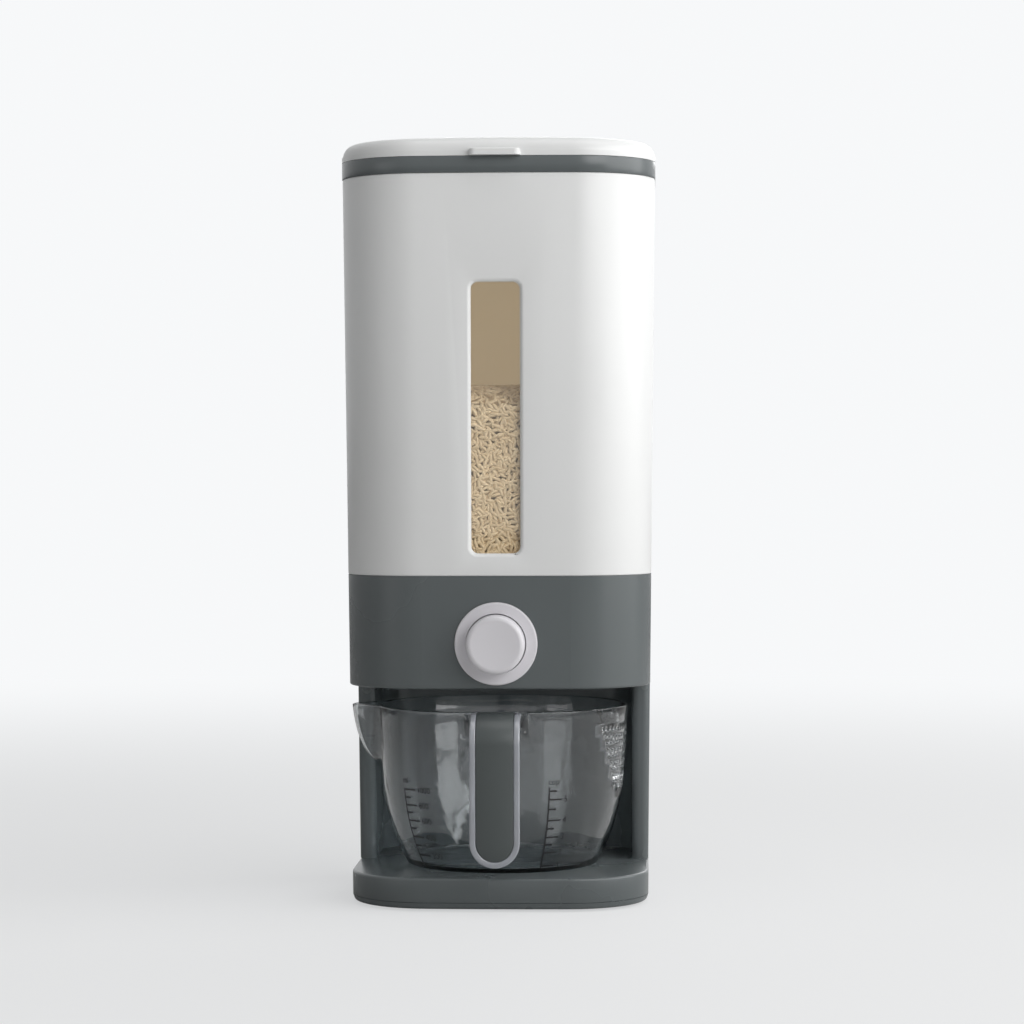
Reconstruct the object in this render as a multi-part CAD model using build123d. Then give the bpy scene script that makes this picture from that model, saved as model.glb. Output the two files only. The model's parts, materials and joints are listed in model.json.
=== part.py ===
from build123d import *
from math import cos, degrees, radians, sin, sqrt, tan
import os

# Rice dispenser with a pull-out measuring jug. Millimetres. X to the right, Y to the back, Z up.
# Every piece is drawn about the body's own centre line, with the table at z = 0. node() then
# moves all of them back by body_y, so that the origin is at the centre of the whole footprint.

# ---- driving dimensions ----

# tapered body, measured at the bucket's rim
body_width = 200.0
body_depth = 200.0
corner_radius = 52.0
smallest_corner = 2.0
front_bulge = 4.0
draft_angle = 0.62

# heights of the stacked parts, from the table up
foot_height = 1.5
cover_height = 4.0
tray_height = 15.5
bay_height = 119.1
band_height = 70.8
bucket_height = 252.1
collar_height = 10.6
lid_height = 13.8

# walls and fits; a cut runs past the face it opens, a joined block sinks into its neighbour
bucket_wall = 2.4
housing_wall = 2.6
tray_wall = 2.6
cover_floor = 2.2
fit_gap = 0.2
slide_gap = 0.3
screw_gap = 0.05
past = 1.0
sink = 0.1

# feet
foot_radius = 8.0
foot_inset = 34.0
foot_recess = 1.0
foot_chamfer = 0.4

# base
cover_inset = 1.2
cover_round = 2.6
tray_round = 1.4
cover_lip = 1.8
cover_lip_height = 5.0
cover_boss_radius = 6.0

# screws
screw_radius = 1.5
head_radius = 3.0
head_height = 2.0
head_slot = 0.8
head_recess = 0.4
hole_end = 0.4
boss_radius = 5.0
base_screw_length = 15.0
cover_screw_length = 11.0
column_screw_y = 38.0
rear_screw_x = 38.0
cover_screw_x = 46.0
cover_screw_y = 52.0

# jug bay
bay_half_width = 84.5
bay_front = 6.5
bay_back = 80.0
bay_corner = 26.0
leg_round = 4.6
boss_height = 18.0
boss_half = 9.0
band_round = 1.2

# bucket
spigot_wall = 2.2
spigot_depth = 8.0
ledge_width = 7.5
ledge_height = 2.5

# window
window_width = 30.0
window_height = 169.0
window_bottom = 14.6
window_corner = 4.0
window_bevel = 2.2
pane_thickness = 2.4
pane_lap = 4.5
pane_step = 0.8
pane_step_inset = 0.7
gasket_thickness = 0.6
gasket_width = 3.0

# funnel and gate
funnel_wall = 2.0
flange_width = 7.5
neck_height = 5.0
neck_wall = 2.0
neck_lip = 1.8
neck_lip_height = 2.5
throat_width = 40.0
throat_corner = 1.5
throat_bulge = 0.01
gate_thickness = 2.4
gate_lap = 1.5
gate_side_lap = 8.0
gate_front_margin = 8.0
gate_back_margin = 6.0
gate_corner = 2.0
guide_thickness = 3.0
channel_floor = 6.0
channel_rail = 7.5
channel_front = 4.5
channel_back = 6.0
outlet_wall = 3.0
chute_post_radius = 4.0
chute_post_y = 5.0
chute_screw_depth = 8.0

# button
button_height = 28.5
press_travel = 13.0
ring_radius = 26.0
ring_proud = 2.2
ring_recess = 0.9
ring_round = 1.0
sleeve_wall = 1.5
sleeve_length = 10.0
sleeve_room = 17.8
cap_radius = 18.4
cap_hole_gap = 0.6
cap_proud = 14.0
cap_round = 3.2
cap_wall = 2.2
cap_dish = 0.6
stop_width = 1.6
stop_thickness = 1.8
cap_boss_radius = 5.6
cap_boss_length = 14.0
rod_radius = 4.0
rod_socket = 12.0
tongue_width = 5.0
tongue_length = 8.0
link_radius = 1.0
link_inset = 2.0
link_short = 0.2
spring_radius = 7.2
spring_wire = 1.0
spring_turns = 8
seat_thickness = 2.6
seat_distance = 34.8
seat_half_width = 14.0
seat_above = 10.0
seat_corner = 6.0

# collar, lid and hinge
collar_proud = 0.4
collar_inner = 6.0
collar_skirt = 2.0
collar_skirt_height = 8.0
lid_wall = 2.2
lid_edge_round = 9.0
lid_crown = 1.9
lid_step = 0.6
lid_flange = 3.2
plug_wall = 2.0
plug_depth = 6.5
seal_height = 3.5
seal_drop = 1.8
seal_squeeze = 0.2
seal_width = 1.8
tab_width = 32.0
tab_reach = 6.0
tab_height = 4.2
tab_root = 6.0
tab_corner = 3.6
tab_round = 1.05
hinge_offset = 4.6
hinge_root = 3.0
knuckle_radius = 4.0
knuckle_gap = 0.3
lid_knuckle_width = 28.0
collar_knuckle_width = 12.0
pin_radius = 1.5
pin_gap = 0.05
lid_arm_height = 4.6
collar_arm_height = 6.0

# jug
jug_y = -10.0
jug_height = 103.8
jug_rim_radius = 82.4
jug_wall = 2.0
jug_floor = 3.4
jug_flare = 4.2
jug_straight = 47.0
belly_radius = 134.0
heel_radius = 4.0
jug_seat_gap = 0.1
spout_reach = 19.7
spout_root = 16.5
spout_height = 38.0
spout_tip_radius = 9.0
spout_steps = 14
spout_first_angle = 14.0
spout_overlap = 0.3
strainer_half_angle = 37.0
strainer_top = 14.0
strainer_depth = 61.0
strainer_rows = 10
strainer_hole_radius = 1.5
strainer_pitch = 5.0

# jug handle
strap_width = 31.2
strap_thickness = 6.5
strap_reach = 31.0
strap_bend = 19.0
strap_rise = 1.0
strap_clearance = 9.9
frame_width = 3.9
grip_depth = 3.0
cheek_thickness = 4.4
cheek_height = 13.0
cheek_reach = 7.0
cheek_drop = 0.6
cheek_root = 4.0

# ---- worked out from them ----

draft = tan(radians(draft_angle))
tray_z = foot_height + cover_height
base_z = tray_z + tray_height
ceiling_z = base_z + bay_height
junction_z = ceiling_z + band_height
rim_z = junction_z + bucket_height
lid_z = rim_z + collar_height
top_z = lid_z + lid_height
far = body_width + body_depth

button_z = ceiling_z + button_height
outlet_y = jug_y
throat_length = press_travel - gate_lap
channel_height = gate_thickness + 2 * slide_gap
channel_z = button_z - channel_height / 2
guide_z = channel_z + channel_height
funnel_z = guide_z + guide_thickness
window_z = junction_z + window_bottom
hinge_y = body_depth / 2 + collar_proud + hinge_offset
jug_seat_z = base_z + jug_seat_gap
jug_rim_z = jug_seat_z + jug_height
front_reach = jug_rim_radius + strap_reach - jug_y
back_reach = hinge_y + knuckle_radius
body_y = (front_reach - back_reach) / 2


def half_width(z, inset=0.0):
    return body_width / 2 - draft * max(0.0, rim_z - z) - inset


def half_depth(z, inset=0.0):
    return body_depth / 2 - draft * max(0.0, rim_z - z) - inset


def rounded(half_x, half_y, radius, bulge, y=0.0):
    """A rectangle with a bulging front side and rounded corners."""
    side_y = -half_y + bulge
    front = ThreePointArc((-half_x, side_y), (0, -half_y), (half_x, side_y))
    sides = Polyline((half_x, side_y), (half_x, half_y), (-half_x, half_y), (-half_x, side_y))
    face = make_face([front] + list(sides.edges()))
    return Pos(0, y, 0) * fillet(face.vertices(), radius)


def outline(z, inset=0.0):
    """The body's section at a height, moved inwards by inset."""
    radius = max(smallest_corner, corner_radius - inset)
    return Pos(0, 0, z) * rounded(half_width(z, inset), half_depth(z, inset), radius, front_bulge)


def shell(low, high, inset=0.0, top_inset=None):
    """The solid between two of the body's sections."""
    upper = inset if top_inset is None else top_inset
    return loft([outline(low, inset), outline(high, upper)], ruled=True)


def ring(low, high, outer, inner):
    return shell(low, high, outer) - shell(low - past, high + past, inner)


def block(x0, x1, y0, y1, z0, z1):
    size = Box(x1 - x0, y1 - y0, z1 - z0)
    return Pos((x0 + x1) / 2, (y0 + y1) / 2, (z0 + z1) / 2) * size


def post(x, y, z0, z1, radius):
    return Pos(x, y, (z0 + z1) / 2) * Cylinder(radius, z1 - z0)


def along_y(x, z, y0, y1, radius):
    return Pos(x, (y0 + y1) / 2, z) * Rot(90, 0, 0) * Cylinder(radius, y1 - y0)


def along_x(y, z, x0, x1, radius):
    return Pos((x0 + x1) / 2, y, z) * Rot(0, 90, 0) * Cylinder(radius, x1 - x0)


def screw(x, y, head_z, length, up=1):
    """A cylinder-head screw that points up (or down) from the face under its head."""
    tip = head_z + up * length
    back = head_z - up * head_height
    shank = post(x, y, min(head_z, tip), max(head_z, tip), screw_radius)
    head = post(x, y, min(head_z, back), max(head_z, back), head_radius)
    slot = block(x - head_radius, x + head_radius, y - head_slot / 2, y + head_slot / 2,
                 min(back, back + up * head_height / 2), max(back, back + up * head_height / 2))
    return shank + head - slot


# ---- base ----

def foot_places():
    x = half_width(foot_height) - foot_inset
    y = half_depth(foot_height) - foot_inset
    return [(side * x, end * y) for side in (-1, 1) for end in (-1, 1)]


def cover_screw_places():
    return [(side * cover_screw_x, end * cover_screw_y) for side in (-1, 1) for end in (-1, 1)]


def base_screw_places():
    from_side = tray_wall + head_radius + fit_gap
    column_x, rear_y = half_width(base_z, from_side), half_depth(base_z, from_side)
    columns = [(side * column_x, column_screw_y) for side in (-1, 1)]
    return columns + [(side * rear_screw_x, rear_y) for side in (-1, 1)]


def make_feet():
    top = foot_height + foot_recess
    return [chamfer(post(x, y, 0, top, foot_radius).edges().group_by(Axis.Z)[0],
                    foot_chamfer) for x, y in foot_places()]


def make_bottom_cover():
    plate = shell(foot_height, tray_z, cover_inset, 0)
    plate = fillet(plate.edges().group_by(Axis.Z)[0], cover_round)
    lip_inset = tray_wall + fit_gap
    plate -= shell(foot_height + cover_floor, tray_z + past, lip_inset + cover_lip)
    lip = ring(tray_z - sink, tray_z + cover_lip_height, lip_inset, lip_inset + cover_lip)
    cover = plate + lip
    for x, y in cover_screw_places():
        cover += post(x, y, foot_height, tray_z, cover_boss_radius)
        cover -= post(x, y, foot_height - past, foot_height + head_height + head_recess,
                      head_radius + fit_gap)
        cover -= post(x, y, 0, tray_z + past, screw_radius + screw_gap)
    for x, y in foot_places():
        cover -= post(x, y, foot_height - past, foot_height + foot_recess, foot_radius + screw_gap)
    return cover


def make_base_tray():
    tray = shell(tray_z, base_z)
    tray = fillet(tray.edges().group_by(Axis.Z)[-1], tray_round)
    ceiling = base_z - tray_wall
    tray -= shell(tray_z - past, ceiling, tray_wall)
    for x, y in cover_screw_places():
        tray += post(x, y, tray_z, ceiling + sink, boss_radius)
        tray -= post(x, y, tray_z - past, ceiling - hole_end, screw_radius + screw_gap)
    for x, y in base_screw_places():
        tray -= post(x, y, ceiling - past, base_z + past, screw_radius + screw_gap)
    return tray


def make_base_screws():
    return [screw(x, y, base_z - tray_wall, base_screw_length) for x, y in base_screw_places()]


def make_cover_screws():
    head_z = foot_height + head_height + head_recess
    return [screw(x, y, head_z, cover_screw_length) for x, y in cover_screw_places()]


# ---- housing ----

def bay_block(grow, low, high):
    """The jug bay, open at the front, grown by a wall."""
    half = bay_half_width + grow
    back = bay_back + grow
    bay = block(-half, half, -far, back, low, high)
    rear_edges = bay.edges().filter_by(Axis.Z).group_by(Axis.Y)[-1]
    return fillet(rear_edges, bay_corner)


def chute_post_places():
    x = throat_width / 2 + gate_side_lap + slide_gap + channel_rail / 2
    return [(side * x, y) for side in (-1, 1) for y in
            (channel_y0() + chute_post_y, channel_y1() - chute_post_y)]


def leg_walls():
    """The two columns and the bay's back wall, with round front noses."""
    high = ceiling_z + 2 * band_round
    legs = shell(base_z, high)
    legs -= block(-far, far, -far, bay_front, base_z - past, high + past)
    legs -= bay_block(0, base_z - past, high + past)
    noses = [e for e in legs.edges() if e.length > bay_height
             and abs(e.center().Y - bay_front) < sink]
    return fillet(noses, leg_round)


def make_housing():
    band = shell(ceiling_z, junction_z)
    band = fillet(band.edges().group_by(Axis.Z)[0], band_round)
    floor_z = ceiling_z + housing_wall
    body = band + leg_walls()
    body -= shell(floor_z, junction_z + past, housing_wall)
    hollow_front = bay_front + 2 * leg_round
    hollow = shell(base_z - past, ceiling_z - housing_wall, housing_wall)
    hollow -= block(-far, far, -far, hollow_front, base_z - 2 * past, ceiling_z)
    hollow -= bay_block(housing_wall, base_z - 2 * past, ceiling_z)
    body -= hollow
    boss_z = base_z + boss_height
    room = shell(base_z, boss_z, housing_wall / 2)
    room -= bay_block(housing_wall / 2, base_z - past, boss_z + past)
    for x, y in base_screw_places():
        near = block(x - boss_half, x + boss_half, y - boss_half, y + boss_half, base_z, boss_z)
        body += near & room
        body -= post(x, y, base_z - past, boss_z - past, screw_radius + screw_gap)
    body += button_mounts(floor_z)
    body = cut_for_button(body)
    for x, y in chute_post_places():
        body += post(x, y, floor_z - sink, channel_z - channel_floor, chute_post_radius)
        body -= post(x, y, floor_z + past, channel_z, screw_radius + screw_gap)
    return body - throat(outlet_wall + fit_gap, ceiling_z - past, floor_z + past)


def seat_front():
    return button_plane() + seat_distance


def button_plane():
    """The flat face of the ring's recess in the band."""
    return -half_depth(button_z) + ring_recess


def button_mounts(floor_z):
    """The upright plate that guides the rod and holds the spring's far end."""
    back = seat_front() + seat_thickness
    plate = block(-seat_half_width, seat_half_width, seat_front(), back,
                  floor_z - sink, button_z + seat_above)
    plate = fillet(plate.edges().filter_by(Axis.Y).group_by(Axis.Z)[-1], seat_corner)
    return plate - along_y(0, button_z, seat_front() - past, back + past, rod_radius + screw_gap)


def cut_for_button(body):
    front = -body_depth
    body -= along_y(0, button_z, front, button_plane(), ring_radius + fit_gap)
    sleeve = cap_radius + cap_hole_gap + sleeve_wall + fit_gap
    return body - along_y(0, button_z, front, button_plane() + sleeve_room, sleeve)


# ---- button and gate ----

def make_button_ring():
    plane = button_plane()
    face = plane - ring_recess - ring_proud
    hole = cap_radius + cap_hole_gap
    disc = along_y(0, button_z, face, plane, ring_radius)
    disc = fillet(disc.edges().group_by(Axis.Y)[0], ring_round)
    disc += along_y(0, button_z, plane - sink, plane + sleeve_length, hole + sleeve_wall)
    return disc - along_y(0, button_z, face - past, plane + sleeve_length + past, hole)


def cap_face():
    return button_plane() - ring_recess - ring_proud - cap_proud


def make_button_cap():
    face = cap_face()
    stop_y = button_plane() + sleeve_length + screw_gap
    rear = stop_y + stop_thickness
    cap = along_y(0, button_z, face, rear, cap_radius)
    cap = fillet(cap.edges().group_by(Axis.Y)[0], cap_round)
    dish_radius = cap_radius - cap_round
    ball = (dish_radius ** 2 + cap_dish ** 2) / (2 * cap_dish)
    cap -= Pos(0, face + cap_dish - ball, button_z) * Sphere(ball)
    cap += along_y(0, button_z, stop_y, rear, cap_radius + stop_width)
    inner = face + cap_wall + cap_dish
    cap -= along_y(0, button_z, inner, rear + past, cap_radius - cap_wall)
    cap += along_y(0, button_z, inner - sink, inner + cap_boss_length, cap_boss_radius)
    return cap - along_y(0, button_z, inner + cap_boss_length - rod_socket - screw_gap,
                         inner + cap_boss_length + past, rod_radius + screw_gap)


def gate_front():
    return outlet_y - throat_length / 2 - press_travel - gate_front_margin


def gate_back():
    return outlet_y + throat_length / 2 + gate_back_margin - gate_lap


def link_y():
    return gate_front() - tongue_length + link_radius + link_inset


def make_push_rod():
    start = cap_face() + cap_wall + cap_dish + cap_boss_length - rod_socket
    end = gate_front() - screw_gap
    rod = along_y(0, button_z, start, end, rod_radius)
    slot = gate_thickness / 2 + screw_gap
    rod -= block(-rod_radius - past, rod_radius + past, gate_front() - tongue_length - screw_gap,
                 end + past, button_z - slot, button_z + slot)
    return rod - post(0, link_y(), button_z - 2 * rod_radius, button_z + 2 * rod_radius,
                      link_radius + screw_gap / 2)


def make_link_pin():
    half = rod_radius - link_short
    return post(0, link_y(), button_z - half, button_z + half, link_radius)


def make_gate_slide():
    half = throat_width / 2 + gate_side_lap
    low, high = button_z - gate_thickness / 2, button_z + gate_thickness / 2
    plate = block(-half, half, gate_front(), gate_back(), low, high)
    plate = fillet(plate.edges().filter_by(Axis.Z), gate_corner)
    window_back = outlet_y + throat_length / 2 - press_travel
    plate -= block(-throat_width / 2, throat_width / 2, window_back - throat_length,
                   window_back, low - past, high + past)
    front = gate_front() - tongue_length
    plate += block(-tongue_width / 2, tongue_width / 2, front, gate_front() + sink, low, high)
    return plate - post(0, link_y(), low - past, high + past, link_radius + screw_gap / 2)


def make_button_spring():
    """A helix along +Y between the cap's inner face and the guide plate."""
    start = cap_face() + cap_wall + cap_dish + spring_wire / 2 + screw_gap
    end = seat_front() - spring_wire / 2 - screw_gap
    path = Helix(pitch=(end - start) / spring_turns, height=end - start, radius=spring_radius)
    section = Plane(origin=path @ 0, z_dir=path % 0) * Circle(spring_wire / 2)
    coil = sweep(section, path=path, is_frenet=True)
    return Pos(0, start, button_z) * Rot(-90, 0, 0) * coil


def channel_y0():
    return gate_front() - channel_front


def channel_y1():
    return gate_back() + press_travel + channel_back


def throat_face(grow):
    return rounded(throat_width / 2 + grow, throat_length / 2 + grow, throat_corner + grow,
                   throat_bulge, outlet_y)


def throat(grow, low, high):
    return extrude(Pos(0, 0, low) * throat_face(grow), high - low)


def rod_notch():
    """Room for the rod's end where it runs into the channel."""
    half = rod_radius + slide_gap
    return block(-half, half, channel_y0() - past, gate_front() + press_travel + slide_gap,
                 button_z - half, funnel_z + past)


def make_outlet_chute():
    half = throat_width / 2 + gate_side_lap + slide_gap + channel_rail
    low = channel_z - channel_floor
    chute = block(-half, half, channel_y0(), channel_y1(), low, guide_z)
    inner = half - channel_rail
    chute -= block(-inner, inner, channel_y0() - past, channel_y1() - channel_back + past,
                   channel_z, guide_z + past)
    chute += throat(outlet_wall, ceiling_z, low + sink)
    chute -= throat(0, ceiling_z - past, guide_z)
    for x, y in chute_post_places():
        chute -= post(x, y, low - past, guide_z + past, screw_radius + screw_gap)
    return chute - rod_notch()


def make_gate_guide():
    half = throat_width / 2 + gate_side_lap + slide_gap + channel_rail
    plate = block(-half, half, channel_y0(), channel_y1(), guide_z, funnel_z)
    lip = throat(neck_wall + fit_gap + neck_lip, funnel_z - sink, funnel_z + neck_lip_height)
    lip -= throat(neck_wall + fit_gap, funnel_z - past, funnel_z + neck_height)
    plate = plate + lip - throat(0, guide_z - past, funnel_z + past)
    for x, y in chute_post_places():
        plate -= post(x, y, guide_z - past, funnel_z + past, screw_radius + screw_gap)
    return plate - rod_notch()


def make_chute_screws():
    length = funnel_z - (channel_z - channel_floor) + chute_screw_depth
    return [screw(x, y, funnel_z, length, up=-1) for x, y in chute_post_places()]


def make_hopper_funnel():
    seat = junction_z + ledge_height
    top = seat + funnel_wall
    outer_inset = bucket_wall + fit_gap
    mouth_inset = outer_inset + flange_width
    neck_top = funnel_z + neck_height
    flange = shell(seat, top, outer_inset)

    def cone(grow):
        inset = mouth_inset - grow
        upper = Pos(0, 0, top) * rounded(half_width(top, inset), half_depth(top, inset),
                                         corner_radius - inset, front_bulge)
        lower = Pos(0, 0, neck_top) * throat_face(grow)
        return loft([lower, upper], ruled=True)

    solid = flange + cone(funnel_wall) + throat(neck_wall, funnel_z, neck_top + sink)
    return solid - cone(0) - throat(0, funnel_z - past, neck_top + 2 * sink)


# ---- bucket, window and collar ----

def window_prism(grow, front, back, corner):
    """The window's outline, grown, as a prism along Y."""
    height = window_height + 2 * grow
    face = Rectangle(window_width + 2 * grow, height)
    face = fillet(face.vertices(), corner)
    middle = window_z + window_height / 2
    plane = Plane(origin=(0, back, middle), x_dir=(1, 0, 0), z_dir=(0, -1, 0))
    return extrude(plane * face, back - front)


def window_bevel_cut():
    """A flared cut, square to the leaning front wall, that opens and bevels the window."""
    middle = window_z + window_height / 2
    wall_y = -half_depth(middle)

    def section(depth):
        grow = window_bevel * (1 - depth / bucket_wall)
        face = Rectangle(window_width + 2 * grow, window_height + 2 * grow)
        face = fillet(face.vertices(), window_corner + grow)
        lean = Plane(origin=(0, wall_y, middle), x_dir=(1, 0, 0), z_dir=(0, -1, -draft))
        return lean * Pos(0, 0, -depth) * face

    return loft([section(-past), section(bucket_wall + past)], ruled=True)


def make_bucket():
    outer = shell(junction_z, rim_z)
    inner = shell(junction_z + ledge_height, rim_z + past, bucket_wall)
    mouth = shell(junction_z - past, junction_z + ledge_height + past, bucket_wall + ledge_width)
    bucket = outer - inner - mouth
    spigot_inset = housing_wall + fit_gap
    low = junction_z - spigot_depth
    bucket += ring(low, junction_z + sink, spigot_inset, spigot_inset + spigot_wall)
    return bucket - window_bevel_cut()


def pane_layer(inset, thickness, grow, corner):
    """A plate that follows the inside of the front wall."""
    low, high = window_z - grow, window_z + window_height + grow
    layer = ring(low - past, high + past, inset, inset + thickness)
    return layer & window_prism(grow, -body_depth, 0, corner)


def make_window_seal():
    inset = bucket_wall + screw_gap
    outer = pane_layer(inset, gasket_thickness, pane_lap, window_corner + pane_lap)
    return outer - window_prism(pane_lap - gasket_width, -body_depth, 0, window_corner)


def make_window_pane():
    inset = bucket_wall + gasket_thickness + 2 * screw_gap
    plate = pane_layer(inset, pane_thickness, pane_lap, window_corner + pane_lap)
    step = pane_layer(inset - pane_step, pane_step + sink, -pane_step_inset, window_corner)
    return plate + step


def make_collar():
    collar = ring(rim_z, lid_z, -collar_proud, collar_inner)
    skirt_inset = bucket_wall + fit_gap
    collar += ring(rim_z - collar_skirt_height, rim_z + sink, skirt_inset,
                   skirt_inset + collar_skirt)
    wall_y = half_depth(rim_z) + collar_proud
    start = lid_knuckle_width / 2 + knuckle_gap
    for side in (-1, 1):
        x0, x1 = sorted((side * start, side * (start + collar_knuckle_width)))
        collar += block(x0, x1, wall_y - hinge_root, hinge_y, lid_z - collar_arm_height, lid_z)
        collar += along_x(hinge_y, lid_z, x0, x1, knuckle_radius)
    clear = knuckle_radius + knuckle_gap
    collar -= along_x(hinge_y, lid_z, -start, start, clear)
    return collar - along_x(hinge_y, lid_z, -far, far, pin_radius + pin_gap)


# ---- lid ----

def rounded_dome(inset, drop):
    crown_radius = (body_width / 2) ** 2 / (2 * lid_crown)
    walls = loft([outline(lid_z, inset), Pos(0, 0, 2 * lid_height) * outline(lid_z, inset)],
                 ruled=True)
    dome = walls & Pos(0, 0, top_z - drop - crown_radius) * Sphere(crown_radius)
    top_face = dome.faces().sort_by(Axis.Z)[-1]
    return fillet(top_face.edges(), lid_edge_round - inset)


def finger_tab():
    front = -half_depth(lid_z) - collar_proud - tab_reach
    tab = block(-tab_width / 2, tab_width / 2, front, front + tab_reach + tab_root,
                lid_z, lid_z + tab_height)
    tab = fillet(tab.edges().filter_by(Axis.Z).group_by(Axis.Y)[0], tab_corner)
    return fillet(tab.edges().group_by(Axis.Z)[-1].group_by(Axis.Y)[0], tab_round)


def plug_inset():
    return collar_inner + seal_squeeze + seal_width


def make_lid_cover():
    flange = shell(lid_z, lid_z + lid_flange, -collar_proud)
    lid = rounded_dome(lid_step - collar_proud, 0) + flange
    lid -= rounded_dome(lid_step - collar_proud + lid_wall, lid_wall)
    plug = ring(lid_z - plug_depth, lid_z + lid_height / 2, plug_inset(), plug_inset() + plug_wall)
    plug_top = ring(lid_z, top_z, plug_inset(), plug_inset() + plug_wall)
    lid += plug + (plug_top & rounded_dome(lid_step - collar_proud, lid_wall / 2))
    lid += finger_tab()
    half = lid_knuckle_width / 2
    wall_y = half_depth(lid_z) + collar_proud
    lid += block(-half, half, wall_y - lid_wall, hinge_y, lid_z, lid_z + lid_arm_height)
    lid += along_x(hinge_y, lid_z, -half, half, knuckle_radius)
    return lid - along_x(hinge_y, lid_z, -far, far, pin_radius + pin_gap)


def make_lid_seal():
    high = lid_z - seal_drop
    return ring(high - seal_height, high, collar_inner + seal_squeeze, plug_inset())


def make_hinge_pin():
    half = lid_knuckle_width / 2 + knuckle_gap + collar_knuckle_width
    return along_x(hinge_y, lid_z, -half, half, pin_radius)


# ---- jug ----

def wall_radius(z):
    """The jug's outer radius at a height: a straight flare above a round belly."""
    flare = radians(jug_flare)
    line_end = jug_rim_z - jug_straight
    if z >= line_end:
        return jug_rim_radius - (jug_rim_z - z) * tan(flare)
    start = jug_rim_radius - jug_straight * tan(flare)
    centre_r = start - belly_radius * cos(flare)
    centre_z = line_end + belly_radius * sin(flare)
    return centre_r + sqrt(belly_radius ** 2 - (z - centre_z) ** 2)


def bowl(inset, floor_z, top, heel):
    """The jug's round body without its spout, moved inwards by inset."""
    line_end = jug_rim_z - jug_straight
    radius = [wall_radius(z) - inset for z in (top, line_end, (line_end + floor_z) / 2, floor_z)]
    wall = Line((radius[0], top), (radius[1], line_end))
    belly = ThreePointArc((radius[1], line_end), (radius[2], (line_end + floor_z) / 2),
                          (radius[3], floor_z))
    rest = Polyline((radius[3], floor_z), (0, floor_z), (0, top), (radius[0], top))
    face = make_face([wall, belly] + list(rest.edges()))
    corner = face.vertices().group_by(Axis.Y)[0].sort_by(Axis.X)[-1]
    face = fillet([corner], heel)
    return Pos(0, jug_y, 0) * revolve(Plane.XZ * face, Axis.Z)


def spout(inset, top):
    """The pouring lip: rounded V sections that grow from the wall up to the rim."""
    sections = []
    for step in range(spout_steps):
        angle = radians(spout_first_angle + (90 - spout_first_angle) * step / (spout_steps - 1))
        share = sin(angle)
        z = jug_rim_z - spout_height * cos(angle)
        wall = wall_radius(z)
        half = wall * sin(radians(spout_root * share)) - inset
        root_x = -sqrt(wall ** 2 - half ** 2) + inset + spout_overlap
        tip_x = -(wall + spout_reach * share) + inset
        deep_x = root_x + spout_reach
        face = make_face(Polyline((deep_x, -half), (root_x, -half), (tip_x, 0), (root_x, half),
                                  (deep_x, half), close=True).edges())
        tip = face.vertices().sort_by(Axis.X)[0]
        face = fillet([tip], max(spout_overlap, (spout_tip_radius - inset) * share))
        sections.append(Pos(0, jug_y, z) * face)
    if top > jug_rim_z:
        sections.append(Pos(0, 0, top - jug_rim_z) * sections[-1])
    return loft(sections, ruled=True)


def strainer_holes():
    """A staggered field of holes through the wall on the side away from the spout."""
    holes = []
    for row in range(strainer_rows):
        z = jug_rim_z - strainer_top - row * strainer_pitch * sin(radians(60))
        drop = (jug_rim_z - z) / strainer_depth
        half_angle = strainer_half_angle * sqrt(max(0.0, 1 - drop ** 2))
        wall = wall_radius(z)
        step = degrees(strainer_pitch / wall)
        shift = (row % 2) * step / 2
        count = int((half_angle - shift) / step)
        angles = [shift + i * step for i in range(-count - (row % 2), count + 1)]
        for angle in angles:
            hole = Rot(0, 0, angle) * Pos(wall, 0, 0) * Rot(0, 90, 0)
            holes.append(Pos(0, jug_y, z) * hole * Cylinder(strainer_hole_radius, 4 * jug_wall))
    return holes


def cheek(side):
    """A gusset beside the handle's root."""
    wall_y = jug_y - jug_rim_radius
    front = wall_y - cheek_reach
    top = jug_rim_z - cheek_drop
    x0 = side * (strap_width / 2 + fit_gap)
    root = wall_y + cheek_root
    outline_yz = Polyline((root, top), (front, top), (front, top - cheek_height / 3),
                          (root, top - cheek_height), close=True)
    face = Plane(origin=(x0, 0, 0), x_dir=(0, 1, 0), z_dir=(1, 0, 0)) * make_face(outline_yz.edges())
    return extrude(face, side * cheek_thickness)


def make_jug_body():
    jug = bowl(0, jug_seat_z, jug_rim_z, heel_radius)
    jug += spout(0, jug_rim_z)
    jug += cheek(-1) + cheek(1)
    jug -= bowl(jug_wall, jug_seat_z + jug_floor, jug_rim_z + past, heel_radius)
    jug -= spout(jug_wall, jug_rim_z + past)
    return jug - strainer_holes()


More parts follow.
